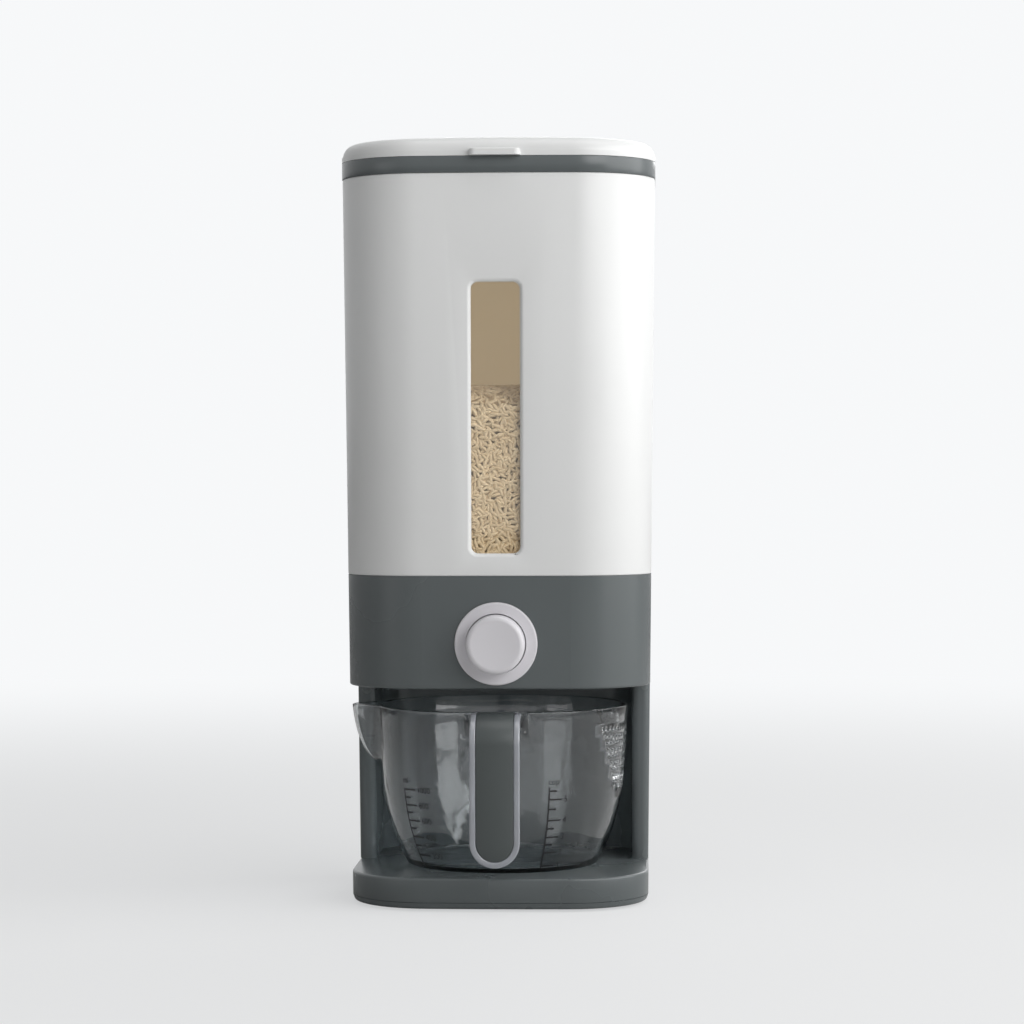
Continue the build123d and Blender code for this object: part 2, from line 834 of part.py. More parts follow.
def strap(inset_x, depth, end_gap, root_gap):
    """The J-shaped strap, or a layer of it under its outer face."""
    half = strap_width / 2 - inset_x
    front = jug_y - jug_rim_radius - strap_reach
    root = jug_y - jug_rim_radius - fit_gap - root_gap
    top = jug_rim_z + strap_rise
    bottom = jug_seat_z + strap_clearance + end_gap
    bend_y, bend_z = front + strap_bend, top - strap_bend
    cut = cos(radians(45))
    outer = ThreePointArc((bend_y, top), (bend_y - strap_bend * cut, bend_z + strap_bend * cut),
                          (front, bend_z))
    small = strap_bend - depth
    inner = ThreePointArc((front + depth, bend_z), (bend_y - small * cut, bend_z + small * cut),
                          (bend_y, top - depth))
    lines = [Line((root, top), (bend_y, top)), outer, Line((front, bend_z), (front, bottom)),
             Line((front, bottom), (front + depth, bottom)),
             Line((front + depth, bottom), (front + depth, bend_z)), inner,
             Line((bend_y, top - depth), (root, top - depth)), Line((root, top - depth), (root, top))]
    side = Plane(origin=(-half, 0, 0), x_dir=(0, 1, 0), z_dir=(1, 0, 0)) * make_face(lines)
    body = extrude(side, 2 * half)
    centre_z = bottom + half
    keep = block(-half, half, -far, root + past, centre_z, top + past)
    keep += along_y(0, centre_z, -far, root + past, half)
    return body & keep


def make_jug_handle():
    body = strap(0, strap_thickness, 0, 0)
    return body - strap(frame_width - screw_gap, grip_depth, frame_width - screw_gap, frame_width)


def make_handle_grip():
    return strap(frame_width, grip_depth - screw_gap, frame_width, frame_width + screw_gap)


def node(name, shape):
    solids = shape if isinstance(shape, list) else [shape]
    moved = [Pos(0, body_y, 0) * solid for solid in solids]
    whole = moved[0] if len(moved) == 1 else Compound(children=[s.solid() for s in moved])
    export_step(whole, f"parts/{name}.step")
    print(name, round(whole.volume / 1000, 2), "cm3")


os.makedirs("parts", exist_ok=True)
node("feet", make_feet())
node("bottom_cover", make_bottom_cover())
node("base_tray", make_base_tray())
node("base_screws", make_base_screws())
node("cover_screws", make_cover_screws())
node("housing", make_housing())
node("button_ring", make_button_ring())
node("button_cap", make_button_cap())
node("push_rod", make_push_rod())
node("link_pin", make_link_pin())
node("gate_slide", make_gate_slide())
node("button_spring", make_button_spring())
node("outlet_chute", make_outlet_chute())
node("gate_guide", make_gate_guide())
node("chute_screws", make_chute_screws())
node("hopper_funnel", make_hopper_funnel())
node("bucket", make_bucket())
node("window_seal", make_window_seal())
node("window_pane", make_window_pane())
node("collar", make_collar())
node("lid_cover", make_lid_cover())
node("lid_seal", make_lid_seal())
node("hinge_pin", make_hinge_pin())
node("jug_body", make_jug_body())
node("jug_handle", make_jug_handle())
node("handle_grip", make_handle_grip())
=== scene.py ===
import json
import math

import bmesh
import bpy
from mathutils import Matrix, Vector


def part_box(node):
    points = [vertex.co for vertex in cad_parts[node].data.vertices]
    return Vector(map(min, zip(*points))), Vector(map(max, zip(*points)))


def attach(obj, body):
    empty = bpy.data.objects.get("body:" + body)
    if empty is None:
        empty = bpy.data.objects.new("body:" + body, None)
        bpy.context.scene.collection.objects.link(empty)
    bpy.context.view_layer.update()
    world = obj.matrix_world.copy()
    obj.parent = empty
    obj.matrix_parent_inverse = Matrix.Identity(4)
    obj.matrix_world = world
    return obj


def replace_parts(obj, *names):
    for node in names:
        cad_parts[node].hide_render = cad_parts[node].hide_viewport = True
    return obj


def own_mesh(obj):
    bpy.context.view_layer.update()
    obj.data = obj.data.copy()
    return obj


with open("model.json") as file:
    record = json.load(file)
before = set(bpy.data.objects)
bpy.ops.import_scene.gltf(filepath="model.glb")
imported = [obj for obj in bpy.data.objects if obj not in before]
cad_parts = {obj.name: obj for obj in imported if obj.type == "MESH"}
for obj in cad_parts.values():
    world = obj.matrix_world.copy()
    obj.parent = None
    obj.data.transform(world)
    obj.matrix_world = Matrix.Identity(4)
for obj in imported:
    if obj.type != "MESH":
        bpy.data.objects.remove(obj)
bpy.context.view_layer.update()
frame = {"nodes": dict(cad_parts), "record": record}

# rice dispenser with a pull-out measuring jug, metres throughout

mm = 0.001

camera = {
    "place": (90.5 * mm, -1997.3 * mm, 274 * mm),
    "turnLeft": 2.41,  # degrees, as the next two
    "tiltDown": 0.689,
    "roll": -0.14,
    "lens": 107.37,
    "sensor": 36,
}

light = {  # each lamp: place, width and height, watts; all of them face the aim
    "key": ((2.2, -0.45, 1.05), (3.0, 1.9), 46),
    "front": ((1.5, -2.45, 1.5), (1.4, 1.4), 23),
    "side": ((-1.85, -1.42, 0.55), (1.0, 0.9), 2.2),
    "top": ((0.2, -0.3, 1.9), (1.2, 1.2), 8),
    "back": ((0.5, 2.7, 1.5), (1.6, 1.4), 16),
    "aim": (0, 0, 0.24),
    "ambient": 0.09,  # how much of the backdrop lights the object
    "backdrop": (0.93, 0.94, 0.95),
}

floor = {
    "halfSize": 6,  # metres
    "colour": (0.78, 0.78, 0.775),
    "fadeFrom": 0.3,  # metres from the middle, where the floor starts to melt into the backdrop
    "fadeTo": 2.2,
    "leastFade": 0.6,
}


def addCamera():
    data = bpy.data.cameras.new("camera")
    data.lens = camera["lens"]
    data.sensor_width = camera["sensor"]
    view = bpy.data.objects.new("camera", data)
    level = Matrix.Rotation(math.radians(camera["turnLeft"]), 4, "Z")
    tilt = Matrix.Rotation(math.radians(90 - camera["tiltDown"]), 4, "X")
    roll = Matrix.Rotation(math.radians(camera["roll"]), 4, "Z")
    view.matrix_world = Matrix.Translation(camera["place"]) @ level @ tilt @ roll
    bpy.context.scene.collection.objects.link(view)
    bpy.context.scene.camera = view


def addLamp(name):
    place, size, power = light[name]
    data = bpy.data.lights.new(name, "AREA")
    data.shape = "RECTANGLE"
    data.size, data.size_y = size
    data.energy = power
    lamp = bpy.data.objects.new(name, data)
    lamp.location = place
    lamp.rotation_mode = "QUATERNION"
    lamp.rotation_quaternion = (Vector(light["aim"]) - Vector(place)).to_track_quat("-Z", "Y")
    bpy.context.scene.collection.objects.link(lamp)


class Wire:  # a node's output, so that shader sums read as plain expressions
    def __init__(self, look, socket):
        self.look = look
        self.socket = socket

    def maths(self, operation, first, second):
        return self.look.node("ShaderNodeMath", {"operation": operation}, [first, second])

    def __add__(self, other):
        return self.maths("ADD", self, other)

    def __radd__(self, other):
        return self.maths("ADD", other, self)

    def __sub__(self, other):
        return self.maths("SUBTRACT", self, other)

    def __rsub__(self, other):
        return self.maths("SUBTRACT", other, self)

    def __mul__(self, other):
        return self.maths("MULTIPLY", self, other)

    def __rmul__(self, other):
        return self.maths("MULTIPLY", other, self)


class Look:  # one material and its nodes
    def __init__(self, name):
        self.material = bpy.data.materials.new(name)
        self.material.use_nodes = True
        self.tree = self.material.node_tree
        self.tree.nodes.clear()

    def node(self, kind, settings=None, sockets=None, output=0):
        made = self.tree.nodes.new(kind)
        for key, value in (settings or {}).items():
            if key == "stops":
                self.setStops(made.color_ramp, value)
            else:
                setattr(made, key, value)
        listed = sockets.items() if isinstance(sockets, dict) else enumerate(sockets or [])
        for key, value in listed:
            if isinstance(value, Wire):
                self.tree.links.new(value.socket, made.inputs[key])
            else:
                made.inputs[key].default_value = value
        return Wire(self, made.outputs[output]) if made.outputs else made

    def setStops(self, ramp, stops):
        while len(ramp.elements) < len(stops):
            ramp.elements.new(0.5)
        for element, (place, colour) in zip(ramp.elements, stops):
            element.position = place
            element.color = colour

    def place(self):
        return self.node("ShaderNodeTexCoord", output="Object")

    def noise(self, scale, detail=3, stretch=(1, 1, 1)):
        spot = self.node("ShaderNodeMapping", {}, {"Vector": self.place(), "Scale": stretch})
        return self.node("ShaderNodeTexNoise", {}, {"Vector": spot, "Scale": scale, "Detail": detail})

    def mixColour(self, share, first, second):
        return self.node("ShaderNodeMix", {"data_type": "RGBA"}, {0: share, 6: first, 7: second}, 2)

    def bump(self, height, strength, distance):
        return self.node("ShaderNodeBump", {}, {"Height": height, "Strength": strength,
                                                "Distance": distance})

    def vector(self, operation, values, output=0):
        return self.node("ShaderNodeVectorMath", {"operation": operation}, values, output)

    def innerSide(self):  # 1 where a wall faces the object's own upright axis
        flat = self.vector("NORMALIZE", [self.vector("MULTIPLY", [self.place(), (1, 1, 0)])])
        faces = self.node("ShaderNodeNewGeometry", output="True Normal")
        return self.node("ShaderNodeMath", {"operation": "LESS_THAN"},
                         [self.vector("DOT_PRODUCT", [flat, faces], 1), -0.5])

    def finish(self, surface):
        self.node("ShaderNodeOutputMaterial", {}, {"Surface": surface})
        return self.material


def shade(colour, factor=1.0):
    return (colour[0] * factor, colour[1] * factor, colour[2] * factor, 1)


def mouldedPlastic(name, colour, roughness, variation=0.03, grain=0.12, grainSize=1400, coat=0.0,
                   paintedGlow=None):
    look = Look(name)
    cloud = look.noise(9, 4)
    fine = look.noise(grainSize, 2)
    tone = look.mixColour(cloud, shade(colour, 1 - variation), shade(colour, 1 + variation))
    surface = look.node("ShaderNodeBsdfPrincipled", {}, {
        "Base Color": tone,
        "Roughness": roughness - 0.04 + 0.08 * cloud,
        "Normal": look.bump(fine, grain, 0.05 * mm),
        "IOR": 1.49,
        "Coat Weight": coat,
        "Coat Roughness": 0.2,
    })
    if paintedGlow:  # painted light: an emission on the inner side only, standing in for the light that the thin wall lets through
        surface.socket.node.inputs["Emission Strength"].default_value = 1.0
        look.tree.links.new(look.mixColour(look.innerSide(), shade((0, 0, 0)), shade(paintedGlow)).socket,
                            surface.socket.node.inputs["Emission Color"])
    return look.finish(surface)


def clearPlastic(name, colour, roughness, waves=55, waviness=0.3):
    look = Look(name)
    haze = look.noise(60, 3)
    glass = look.node("ShaderNodeBsdfPrincipled", {}, {
        "Base Color": shade(colour),
        "Roughness": roughness + 0.01 * haze,
        "Normal": look.bump(look.noise(waves, 2), waviness, 1 * mm),
        "IOR": 1.5,
        "Transmission Weight": 1.0,
    })
    through = look.node("ShaderNodeBsdfTransparent", {}, {"Color": shade(colour, 0.95)})
    rays = look.node("ShaderNodeLightPath", output="Is Shadow Ray")
    return look.finish(look.node("ShaderNodeMixShader", {}, [rays, glass, through]))


def milkyPlastic(name, colour, roughness):  # the clear plastic where it is thick
    look = Look(name)
    haze = look.noise(60, 3)
    surface = look.node("ShaderNodeBsdfPrincipled", {}, {
        "Base Color": look.mixColour(haze, shade(colour, 0.94), shade(colour, 1.06)),
        "Roughness": roughness + 0.02 * haze,
        "IOR": 1.5,
        "Transmission Weight": 0.55,
        "Coat Weight": 0.6,
    })
    return look.finish(surface)


def brushedSteel(name):
    look = Look(name)
    scratch = look.noise(300, 3, (1, 1, 8))
    surface = look.node("ShaderNodeBsdfPrincipled", {}, {
        "Base Color": look.mixColour(scratch, shade((0.45, 0.45, 0.46)), shade((0.62, 0.62, 0.63))),
        "Metallic": 1.0,
        "Roughness": 0.25 + 0.15 * scratch,
    })
    return look.finish(surface)


def riceLook(name, pale, tan):
    look = Look(name)
    fleck = look.noise(170, 2)
    patch = look.noise(30, 2)
    tone = look.mixColour(0.25 + 0.9 * (fleck - 0.35) + 0.3 * (patch - 0.5), shade(pale), shade(tan))
    surface = look.node("ShaderNodeBsdfPrincipled", {}, {
        "Base Color": tone,
        "Roughness": 0.5 + 0.1 * fleck,
        "Normal": look.bump(look.noise(1500, 2), 0.2, 0.1 * mm),
        "IOR": 1.5,
    })
    return look.finish(surface)


def printInk(name, colour):
    look = Look(name)
    surface = look.node("ShaderNodeBsdfPrincipled", {}, {
        "Base Color": shade(colour),
        "Roughness": 0.5 + 0.1 * look.noise(200, 2),
    })
    return look.finish(surface)


looks = {
    "white": mouldedPlastic("whitePlastic", (0.83, 0.835, 0.83), 0.36),
    # painted light: the bucket's inner side glows warm, an emission standing in for light through the wall
    "shell": mouldedPlastic("shellPlastic", (0.83, 0.835, 0.83), 0.34, paintedGlow=(0.145, 0.108, 0.060)),
    "button": mouldedPlastic("buttonPlastic", (0.72, 0.705, 0.735), 0.34),
    "grey": mouldedPlastic("greyPlastic", (0.102, 0.116, 0.119), 0.27, 0.05),
    "grip": mouldedPlastic("gripPlastic", (0.062, 0.072, 0.072), 0.42, 0.05),
    "inner": mouldedPlastic("innerPlastic", (0.72, 0.72, 0.70), 0.4),
    "silicone": mouldedPlastic("sealSilicone", (0.62, 0.63, 0.63), 0.6),
    "rubber": mouldedPlastic("footRubber", (0.02, 0.02, 0.02), 0.75, 0.1, 0.3, 700),
    "clear": clearPlastic("clearPlastic", (0.93, 0.95, 0.96), 0.03),
    "frame": milkyPlastic("handlePlastic", (0.60, 0.62, 0.67), 0.10),
    "pane": clearPlastic("panePlastic", (0.95, 0.94, 0.91), 0.03, 20, 0.02),
    "steel": brushedSteel("brushedSteel"),
    "rice": riceLook("riceGrain", (0.74, 0.61, 0.43), (0.46, 0.33, 0.18)),
    # painted shade: a darker copy of the rice look, for the shade in the gaps between the grains and on the
    # heap behind them
    "shadedRicePile": riceLook("shadedRicePile", (0.42, 0.31, 0.18), (0.27, 0.18, 0.09)),
    "ink": printInk("scaleInk", (0.012, 0.012, 0.014)),
}

nodeLooks = {
    "white": ["lid_cover"],
    "shell": ["bucket"],
    "button": ["button_ring", "button_cap"],
    "grey": ["collar", "housing", "base_tray", "bottom_cover"],
    "grip": ["handle_grip"],
    "inner": ["hopper_funnel", "gate_guide", "gate_slide", "outlet_chute", "push_rod"],
    "silicone": ["lid_seal", "window_seal"],
    "rubber": ["feet"],
    "clear": ["jug_body"],
    "frame": ["jug_handle"],
    "pane": ["window_pane"],
    "steel": ["hinge_pin", "chute_screws", "link_pin", "button_spring", "base_screws", "cover_screws"],
}


class Tree:  # one geometry node tree with named inputs
    def __init__(self, name, inputs):
        self.tree = bpy.data.node_groups.new(name, "GeometryNodeTree")
        for key, kind in [("Geometry", "Geometry")] + list(inputs.items()):
            self.tree.interface.new_socket(key, in_out="INPUT", socket_type="NodeSocket" + kind)
        self.tree.interface.new_socket("Geometry", in_out="OUTPUT", socket_type="NodeSocketGeometry")
        self.start = self.tree.nodes.new("NodeGroupInput")

    def given(self, key):
        return self.start.outputs[key]

    def node(self, kind, settings=None, sockets=None, output=0):
        made = self.tree.nodes.new(kind)
        for key, value in (settings or {}).items():
            setattr(made, key, value)
        for key, value in (sockets or {}).items():
            if isinstance(value, bpy.types.NodeSocket):
                self.tree.links.new(value, made.inputs[key])
            else:
                made.inputs[key].default_value = value
        return made.outputs[output]

    def close(self, geometry, material):
        joined = self.node("GeometryNodeRealizeInstances", {}, {"Geometry": geometry})
        dressed = self.node("GeometryNodeSetMaterial", {}, {"Geometry": joined, "Material": material})
        end = self.tree.nodes.new("NodeGroupOutput")
        self.tree.links.new(dressed, end.inputs[0])

    def run(self, base, values):
        piece = bpy.data.objects.new("base", base)
        bpy.context.scene.collection.objects.link(piece)
        step = piece.modifiers.new("build", "NODES")
        step.node_group = self.tree
        for item in self.tree.interface.items_tree:
            if item.in_out == "INPUT" and item.name in values:
                step[item.identifier] = values[item.name]
        graph = bpy.context.evaluated_depsgraph_get()
        made = bpy.data.meshes.new_from_object(piece.evaluated_get(graph), depsgraph=graph)
        bpy.data.objects.remove(piece)
        return made


def meshOf(vertices, faces, name="mesh"):
    mesh = bpy.data.meshes.new(name)
    mesh.from_pydata(vertices, [], faces)
    return mesh


def addPiece(name, mesh, look, bodyName):
    mesh.name = name
    mesh.materials.clear()
    mesh.materials.append(looks[look])
    piece = bpy.data.objects.new(name, mesh)
    bpy.context.scene.collection.objects.link(piece)
    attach(piece, bodyName)
    return piece


softEdges = {  # edges as the moulds leave them: body, slot, look, edge radius in mm, segments, and the
    # height in mm above which edges are rounded
    "bucket": ("stand", "white_plastic", "shell", 0.9, 3, 0),
    "jug_handle": ("jug", "clear_plastic", "frame", 1.0, 3, 0),
    "base_tray": ("stand", "grey_plastic", "grey", 0.5, 2, 0),
    "jug_body": ("jug", "clear_plastic", "clear", 0.7, 3, 124.7),
    "collar": ("stand", "grey_plastic", "grey", 0.5, 2, 0),
    "handle_grip": ("jug", "grip_plastic", "grip", 0.6, 2, 0),
}

moulding = {
    "weld": 0.003 * mm,
    "flatBelow": 0.4,  # degrees between faces that become one
    "sharpAbove": 40,  # degrees between faces whose edge is rounded
    "shadedSharp": 45,
}


def softenNode(node):
    bodyName, slot, look, radius, segments, above = softEdges[node]
    made = bmesh.new()
    made.from_mesh(frame["nodes"][node].data)
    bmesh.ops.remove_doubles(made, verts=made.verts, dist=moulding["weld"])
    if not above:
        bmesh.ops.dissolve_limit(made, angle_limit=math.radians(moulding["flatBelow"]),
                                 verts=made.verts, edges=made.edges)
    sharp = [edge for edge in made.edges if len(edge.link_faces) == 2
             and edge.calc_face_angle() > math.radians(moulding["sharpAbove"])
             and min(vertex.co.z for vertex in edge.verts) > above * mm]
    bmesh.ops.bevel(made, geom=sharp, offset=radius * mm, segments=segments, profile=0.5,
                    affect="EDGES", clamp_overlap=False)
    for face in made.faces:
        face.smooth = True
    mesh = bpy.data.meshes.new(node + "Moulded")
    made.to_mesh(mesh)
    made.free()
    mesh.set_sharp_from_angle(angle=math.radians(moulding["shadedSharp"]))
    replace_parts(addPiece(node + "Moulded", mesh, look, bodyName), node)


def addSpring():  # the return spring as a piece of its own; how far it shortens as the button goes in is worked out but not applied
    low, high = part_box("button_spring")
    joints = frame["record"]["behaviour"]["joints"]
    press = next(joint for joint in joints if joint["name"] == "button_press")
    mesh = frame["nodes"]["button_spring"].data.copy()
    piece = addPiece("returnSpring", mesh, "steel", "stand")
    1 - press["range_m"][1] / (high.y - low.y)
    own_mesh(piece)
    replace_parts(piece, "button_spring")
    print("return spring")


# the body's outline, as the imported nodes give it

trayLow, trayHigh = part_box("base_tray")
bucketLow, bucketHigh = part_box("bucket")
body = {
    "middleY": (trayLow.y + trayHigh.y) / 2,
    "rimHalf": bucketHigh.x,
    "rimZ": bucketHigh.z,
    "draft": (bucketHigh.x - trayHigh.x) / (bucketHigh.z - trayLow.z),
    "corner": 52 * mm,
    "bulge": 4 * mm,
}


def halfAt(z, inset=0.0):
    return body["rimHalf"] - body["draft"] * (body["rimZ"] - z) - inset


def frontY(x, z, inset=0.0):
    half = halfAt(z, inset)
    arc = (half ** 2 + body["bulge"] ** 2) / (2 * body["bulge"])
    return body["middleY"] - half + arc - math.sqrt(arc ** 2 - x ** 2)


def bodyLoop(z, inset, count=12):
    half = halfAt(z, inset)
    radius = body["corner"] - inset
    points = []
    for turn in range(4):
        sign = ((1, -1), (1, 1), (-1, 1), (-1, -1))[turn]
        drop = body["bulge"] if sign[1] < 0 else 0
        centre = (sign[0] * (half - radius), sign[1] * (half - radius - drop / 2))
        for step in range(count + 1):
            angle = math.radians(-90 + 90 * turn + 90 * step / count)
            points.append((centre[0] + radius * math.cos(angle),
                           body["middleY"] + centre[1] + radius * math.sin(angle)))
    return points


rice = {
    "lowZ": 217 * mm,  # just over the rim of the funnel
    "paneLevel": 317.5 * mm,  # where the heap meets the pane
    "heapRise": 17 * mm,
    "riseLength": 45 * mm,
    "wallInset": 8.2 * mm,
    "paneInset": 6.7 * mm,
    "secondLayer": 1.0 * mm,
    "patchHalf": 18.5 * mm,
    "grainLength": 6.6 * mm,
    "grainWidth": 2.5 * mm,
    "leastGap": 2.0 * mm,
    "heapGap": 3.1 * mm,
    "density": 900000.0,
    "tilt": 0.22,  # radians
    "seed": 7,
    "waveHeight": 1.6 * mm,
    "smallest": 0.40,  # share of a grain's full length and width
    "largest": 0.55,
    "heapRings": 14,
    "patchColumns": 6,
    "patchRows": 14,
}


def heapAt(x, y):
    edge = body["middleY"] - halfAt(rice["paneLevel"], rice["wallInset"])
    back = (y - edge) / rice["riseLength"]
    share = max(0.0, min(1.0, back))
    wave = math.sin(x * 45 + 1) * math.cos(y * 38) * rice["waveHeight"]
    return rice["paneLevel"] + rice["heapRise"] * share * (2 - share) * (1 - 0.25 * share) + wave * share


def heapMesh():
    vertices = []
    steps = rice["heapRings"]
    rings = [(rice["lowZ"], 1.0)] + [(None, 1 - step / steps) for step in range(steps)]
    count = 0
    for z, scale in rings:
        loop = bodyLoop(rice["lowZ"] if z else rice["paneLevel"], rice["wallInset"])
        count = len(loop)
        for x, y in loop:
            x, y = x * scale, body["middleY"] + (y - body["middleY"]) * scale
            vertices.append((x, y, z or heapAt(x, y)))
    faces = []
    for level in range(len(rings) - 1):
        for step in range(count):
            other = (step + 1) % count
            first = level * count
            faces.append((first + step, first + other, first + count + other, first + count + step))
    top = len(vertices)
    vertices.append((0, body["middleY"], heapAt(0, body["middleY"])))
    last = (len(rings) - 1) * count
    faces += [(last + step, last + (step + 1) % count, top) for step in range(count)]
    faces.append(tuple(reversed(range(count))))
    return meshOf(vertices, faces)


def heapTop(mesh):
    kept = bmesh.new()
    kept.from_mesh(mesh)
    low = [face for face in kept.faces if face.normal.z < 0.5]
    bmesh.ops.delete(kept, geom=low, context="FACES")
    top = bpy.data.meshes.new("heapTop")
    kept.to_mesh(top)
    kept.free()
    return top


def panePatch():
    across, up = rice["patchColumns"], rice["patchRows"]
    vertices, faces = [], []
    for layer in range(2):
        first = len(vertices)
        inset = rice["paneInset"] + layer * rice["secondLayer"]
        for row in range(up + 1):
            z = rice["lowZ"] + (rice["paneLevel"] - rice["lowZ"]) * row / up
            for column in range(across + 1):
                x = rice["patchHalf"] * (2 * column / across - 1)
                vertices.append((x, frontY(x, z, inset), z))
        wide = across + 1
        for row in range(up):
            for column in range(across):
                corner = first + row * wide + column
                faces.append((corner, corner + 1, corner + wide + 1, corner + wide))
    return meshOf(vertices, faces)


def grainTree():
    tree = Tree("scatterGrains", {"Least gap": "Float", "Density": "Float", "Length": "Float",
                                  "Width": "Float", "Seed": "Int"})
    spots = tree.node("GeometryNodeDistributePointsOnFaces", {"distribute_method": "POISSON"}, {
        "Mesh": tree.given("Geometry"), "Distance Min": tree.given("Least gap"),
        "Density Max": tree.given("Density"), "Seed": tree.given("Seed")})
    upright = spots.node.outputs["Rotation"]
    lean = tree.node("FunctionNodeRandomValue", {"data_type": "FLOAT_VECTOR"}, {
        "Min": (-rice["tilt"], -rice["tilt"], 0), "Max": (rice["tilt"], rice["tilt"], 2 * math.pi),
        "Seed": tree.given("Seed")})
    turned = tree.node("FunctionNodeRotateRotation", {"rotation_space": "LOCAL"},
                       {"Rotation": upright, "Rotate By": lean})
    size = tree.node("FunctionNodeRandomValue", {"data_type": "FLOAT"}, {
        2: rice["smallest"], 3: rice["largest"], "Seed": tree.given("Seed")}, 1)
    ball = tree.node("GeometryNodeMeshUVSphere", {}, {"Segments": 7, "Rings": 7, "Radius": 1.0})
    soft = tree.node("GeometryNodeSetShadeSmooth", {}, {"Geometry": ball})
    shape = tree.node("ShaderNodeCombineXYZ", {}, {"X": tree.given("Width"), "Y": tree.given("Width"),
                                                   "Z": tree.given("Length")})
    grain = tree.node("GeometryNodeTransform", {}, {"Geometry": soft, "Rotation": (0, math.pi / 2, 0),
                                                    "Scale": shape})
    placed = tree.node("GeometryNodeInstanceOnPoints", {}, {"Points": spots, "Instance": grain,
                                                            "Rotation": turned, "Scale": size})
    tree.close(placed, looks["rice"])
    return tree


def addRice():
    heap = heapMesh()
    tree = grainTree()
    values = {"Least gap": rice["leastGap"], "Density": rice["density"], "Length": rice["grainLength"],
              "Width": rice["grainWidth"], "Seed": rice["seed"]}
    addPiece("riceByPane", tree.run(panePatch(), values), "rice", "stand")
    values.update({"Least gap": rice["heapGap"], "Seed": rice["seed"] + 1})
    addPiece("riceOnHeap", tree.run(heapTop(heap), values), "rice", "stand")
    # the heap under the grains takes the darker rice look, painted shade between the grains
    addPiece("riceHeap", heap, "shadedRicePile", "stand")
    print("rice in the store")


jugLow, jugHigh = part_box("jug_body")
jug = {
    "middleY": body["middleY"] - 10 * mm,  # the jug stands that far forward of the body's middle
    "rimZ": jugHigh.z,
    "rimRadius": jugHigh.x,
    "flare": 4.2,  # degrees
    "straight": 47 * mm,  # height of the straight part under the rim
    "belly": 134 * mm,  # radius of the curve below it
}

scales = {
    "inkDepth": 0.05 * mm,
    "inkHeight": 0.06 * mm,
    "lineWidth": 1.1 * mm,
    "digitSize": 5.6 * mm,
    "digitGap": 1.6 * mm,
    "headBack": 1 * mm,
    "rows": 24,  # steps that let the upright line follow the wall
    # azimuth in degrees from the front; top, bottom, long, short and headZ in millimetres
    "left": {"azimuth": -50.2, "top": 73.8, "bottom": 23.0, "long": 10.5, "short": 5.6,
             "ticks": [(73.8, "1000"), (68.7, ""), (63.8, "800"), (59.0, ""), (53.7, "600"), (48.6, ""),
                       (43.1, "400"), (37.4, ""), (30.9, "200")], "head": "ml", "headZ": 79.6},
    "right": {"azimuth": 24.6, "top": 77.0, "bottom": 24.4, "long": 9.0, "short": 5.2,
              "ticks": [(74.6, ""), (69.2, "5"), (62.9, ""), (55.7, "4"), (50.3, ""), (44.7, "3"),
                        (39.8, ""), (34.5, "2"), (25.6, "1")], "head": "cup", "headZ": 80.5},
}


def jugRadius(z):
    flare = math.radians(jug["flare"])
    below = jug["rimZ"] - z
    if below <= jug["straight"]:
        return jug["rimRadius"] - below * math.tan(flare)
    start = jug["rimRadius"] - jug["straight"] * math.tan(flare)
    centreZ = jug["rimZ"] - jug["straight"] + jug["belly"] * math.sin(flare)
    return start - jug["belly"] * math.cos(flare) + math.sqrt(jug["belly"] ** 2 - (z - centreZ) ** 2)


def wrapOnJug(mesh, azimuth):  # x runs round the wall, y up it and z out of it
    for vertex in mesh.vertices:
        around, up, out = vertex.co
        radius = jugRadius(up)
        angle = math.radians(azimuth) + around / radius
        vertex.co = ((radius + out) * math.sin(angle), jug["middleY"] - (radius + out) * math.cos(angle), up)


def tickTree():
    tree = Tree("scaleTicks", {"Width": "Float", "Depth": "Float"})
    size = tree.node("ShaderNodeCombineXYZ", {}, {"X": 1.0, "Y": tree.given("Width"),
                                                  "Z": tree.given("Depth")})
    bar = tree.node("GeometryNodeMeshCube", {}, {"Size": size, "Vertices X": 6})
    bar = tree.node("GeometryNodeTransform", {}, {"Geometry": bar, "Translation": (0.5, 0, 0)})
    length = tree.node("GeometryNodeInputNamedAttribute", {"data_type": "FLOAT"}, {"Name": "length"})
    stretch = tree.node("ShaderNodeCombineXYZ", {}, {"X": length, "Y": 1.0, "Z": 1.0})
    placed = tree.node("GeometryNodeInstanceOnPoints", {}, {"Points": tree.given("Geometry"),
                                                            "Instance": bar, "Scale": stretch})
    tree.close(placed, looks["ink"])
    return tree


def digits(text, size):
    curve = bpy.data.curves.new("digits", "FONT")
    curve.body = text
    curve.size = size
    curve.extrude = (scales["inkDepth"] + scales["inkHeight"]) / 2
    curve.resolution_u = 3
    curve.align_y = "CENTER"
    piece = bpy.data.objects.new("digits", curve)
    bpy.context.scene.collection.objects.link(piece)
    graph = bpy.context.evaluated_depsgraph_get()
    mesh = bpy.data.meshes.new_from_object(piece.evaluated_get(graph))
    bpy.data.objects.remove(piece)
    return mesh


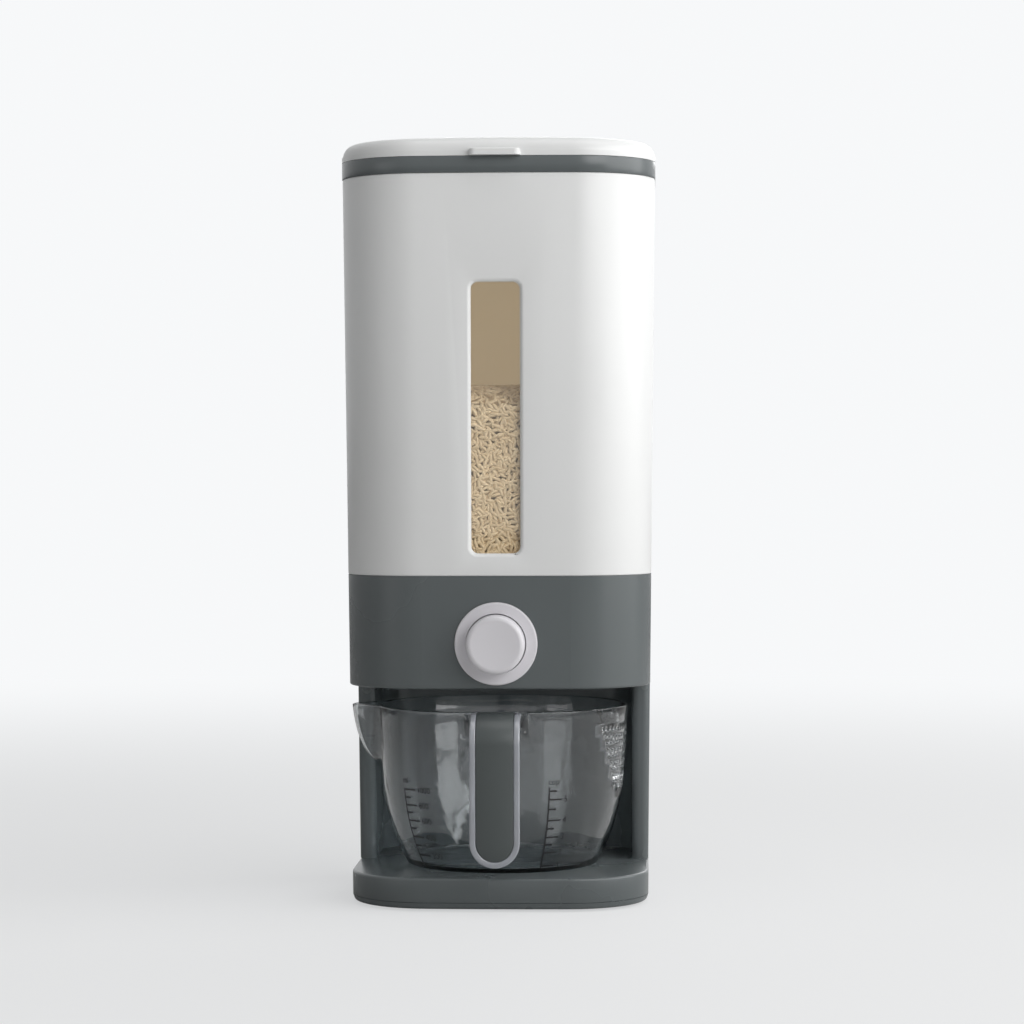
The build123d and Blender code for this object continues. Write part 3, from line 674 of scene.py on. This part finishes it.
def addScale(name, tree):
    one = scales[name]
    thick = scales["inkDepth"] + scales["inkHeight"]
    lift = (scales["inkHeight"] - scales["inkDepth"]) / 2
    marks = [(0, z * mm, one["long"] if text else one["short"]) for z, text in one["ticks"]]
    spots = meshOf([(x, y, lift) for x, y, size in marks], [])
    lengths = spots.attributes.new("length", "FLOAT", "POINT")
    for item, mark in zip(lengths.data, marks):
        item.value = mark[2] * mm
    joined = bmesh.new()
    joined.from_mesh(tree.run(spots, {"Width": scales["lineWidth"], "Depth": thick}))
    high, low, half = one["top"] * mm, one["bottom"] * mm, scales["lineWidth"] / 2
    rows = scales["rows"]
    for step in range(rows):
        z0 = low + (high - low) * step / rows
        z1 = low + (high - low) * (step + 1) / rows
        corners = [(-half, z0), (half, z0), (half, z1), (-half, z1)]
        near = [joined.verts.new((x, z, lift + thick / 2)) for x, z in corners]
        deep = [joined.verts.new((x, z, lift - thick / 2)) for x, z in corners]
        joined.faces.new(near)
        joined.faces.new(list(reversed(deep)))
        for side in range(4):
            other = (side + 1) % 4
            joined.faces.new([near[side], deep[side], deep[other], near[other]])
    for z, text in one["ticks"] + [(one["headZ"], one["head"])]:
        if not text:
            continue
        word = digits(text, scales["digitSize"])
        away = one["long"] * mm + scales["digitGap"] if z != one["headZ"] else -scales["headBack"]
        for vertex in word.vertices:
            vertex.co = (vertex.co.x + away, vertex.co.y + z * mm, vertex.co.z + lift)
        joined.from_mesh(word)
    mesh = bpy.data.meshes.new(name)
    joined.to_mesh(mesh)
    joined.free()
    wrapOnJug(mesh, one["azimuth"])
    addPiece(name + "Scale", mesh, "ink", "jug")


def addScales():
    tree = tickTree()
    addScale("left", tree)
    addScale("right", tree)
    print("scales on the jug")


def dressNodes():
    for name, nodes in nodeLooks.items():
        for node in nodes:
            data = frame["nodes"][node].data
            data.materials.clear()
            data.materials.append(looks[name])


def addWorld():  # bright where the camera, a mirror image or clear plastic sees it, dim as a light
    world = bpy.data.worlds.new("studio")
    bpy.context.scene.world = world
    world.use_nodes = True
    tree = world.node_tree
    tree.nodes.clear()
    rays = tree.nodes.new("ShaderNodeLightPath")
    seen = tree.nodes.new("ShaderNodeMath")
    seen.operation = "MAXIMUM"
    clear = tree.nodes.new("ShaderNodeMath")
    clear.operation = "MAXIMUM"
    strength = tree.nodes.new("ShaderNodeMix")
    strength.inputs[2].default_value = light["ambient"]
    strength.inputs[3].default_value = 1.0
    back = tree.nodes.new("ShaderNodeBackground")
    back.inputs["Color"].default_value = shade(light["backdrop"])
    out = tree.nodes.new("ShaderNodeOutputWorld")
    links = [
        (rays.outputs["Is Camera Ray"], seen.inputs[0]),
        (rays.outputs["Is Glossy Ray"], seen.inputs[1]),
        (seen.outputs[0], clear.inputs[0]),
        (rays.outputs["Is Transmission Ray"], clear.inputs[1]),
        (clear.outputs[0], strength.inputs[0]),
        (strength.outputs[0], back.inputs["Strength"]),
        (back.outputs[0], out.inputs["Surface"]),
    ]
    for start, end in links:
        tree.links.new(start, end)


def addFloor():
    far = floor["halfSize"]
    mesh = meshOf([(-far, -far, 0), (far, -far, 0), (far, far, 0), (-far, far, 0)], [(0, 1, 2, 3)])
    sheet = bpy.data.objects.new("floor", mesh)
    bpy.context.scene.collection.objects.link(sheet)
    look = Look("floorPaper")
    away = look.vector("LENGTH", [look.place()], 1)
    fade = look.node("ShaderNodeMapRange", {"interpolation_type": "SMOOTHSTEP"}, {
        "Value": away, "From Min": floor["fadeFrom"], "From Max": floor["fadeTo"],
        "To Min": floor["leastFade"]})
    seen = look.node("ShaderNodeLightPath", output="Is Camera Ray")
    paper = look.node("ShaderNodeBsdfDiffuse", {}, {"Color": shade(floor["colour"])})
    white = look.node("ShaderNodeEmission", {}, {"Color": shade(light["backdrop"])})
    look.finish(look.node("ShaderNodeMixShader", {}, [fade * seen, paper, white]))
    mesh.materials.append(look.material)


addCamera()
for lampName in ("key", "front", "side", "top", "back"):
    addLamp(lampName)
print("camera and lamps")
addWorld()
addFloor()
print("world and floor")
dressNodes()
print("materials on the nodes")
for node in softEdges:
    softenNode(node)
print("moulded edges")
addSpring()
addRice()
addScales()
bpy.context.scene.view_settings.view_transform = "Standard"
